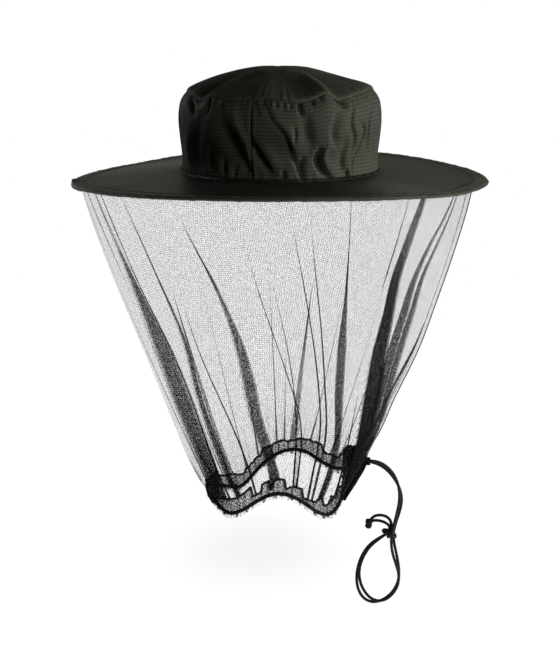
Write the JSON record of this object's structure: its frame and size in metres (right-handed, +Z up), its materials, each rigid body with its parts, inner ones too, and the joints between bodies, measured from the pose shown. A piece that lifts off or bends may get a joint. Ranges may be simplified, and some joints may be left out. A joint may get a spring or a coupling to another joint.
{
  "type": "beekeeping veil",
  "caption": "Wide-brim cloth hat with a spring-wired brim and a net veil that hangs from its edge and gathers at the neck on a hanging drawcord.",
  "frame": {"origin": "centre of the head opening, in the plane where the crown meets the brim", "axes": "+Z up through the crown, -Y the front of the veil, +X the wearer's left, where the drawcord leaves the hem"},
  "size_m": [0.405, 0.405, 0.5411],
  "materials": {
    "hat_cloth": "dark olive ripstop, matt with a faint sheen",
    "edge_cloth": "dark olive binding, matt",
    "lining_tape": "black woven tape",
    "spring_steel": "hard-drawn spring wire",
    "net": "fine black hexagonal net",
    "hem_cloth": "net folded double and gathered",
    "neck_cord": "braided polyester cord"
  },
  "bodies": {
    "hat": {"crown_tip": "hat_cloth", "crown_side_right": "hat_cloth", "crown_side_left": "hat_cloth", "crown_seam_tape": "lining_tape", "crown_base_piping": "edge_cloth", "sweatband": "lining_tape", "brim_top_panel": "hat_cloth", "brim_under_panel": "hat_cloth", "brim_edge_channel": "edge_cloth", "brim_spring_wire": "spring_steel", "wire_ferrule": "spring_steel", "veil_top_tape": "lining_tape", "veil_net_upper": "net", "veil_net_lower": "net"},
    "hem": {"hem_channel": "hem_cloth", "hem_drawcord": "neck_cord", "hem_exit_collar": "hem_cloth"},
    "cord_exit": {"cord_exit_sleeve": "hem_cloth"},
    "drawcord": {"drawcord_strand_a": "neck_cord", "drawcord_strand_b": "neck_cord", "drawcord_loop_knot": "neck_cord", "drawcord_end_knot": "neck_cord"}
  },
  "joints": [
    {"name": "veil_lift", "type": "slide", "parent": "hat", "child": "hem", "axis": [0, 0, 1], "range_m": [0, 0.12], "deforming": ["veil_net_lower"]},
    {"name": "drawcord_swing", "type": "hinge", "parent": "hem", "child": "cord_exit", "pos_m": [0.08, 0, -0.292], "axis": [1, 0, 0], "range_deg": [-60, 60]},
    {"name": "drawcord_pull", "type": "slide", "parent": "cord_exit", "child": "drawcord", "axis": [1, 0, 0], "range_m": [0, 0.018]}
  ]
}
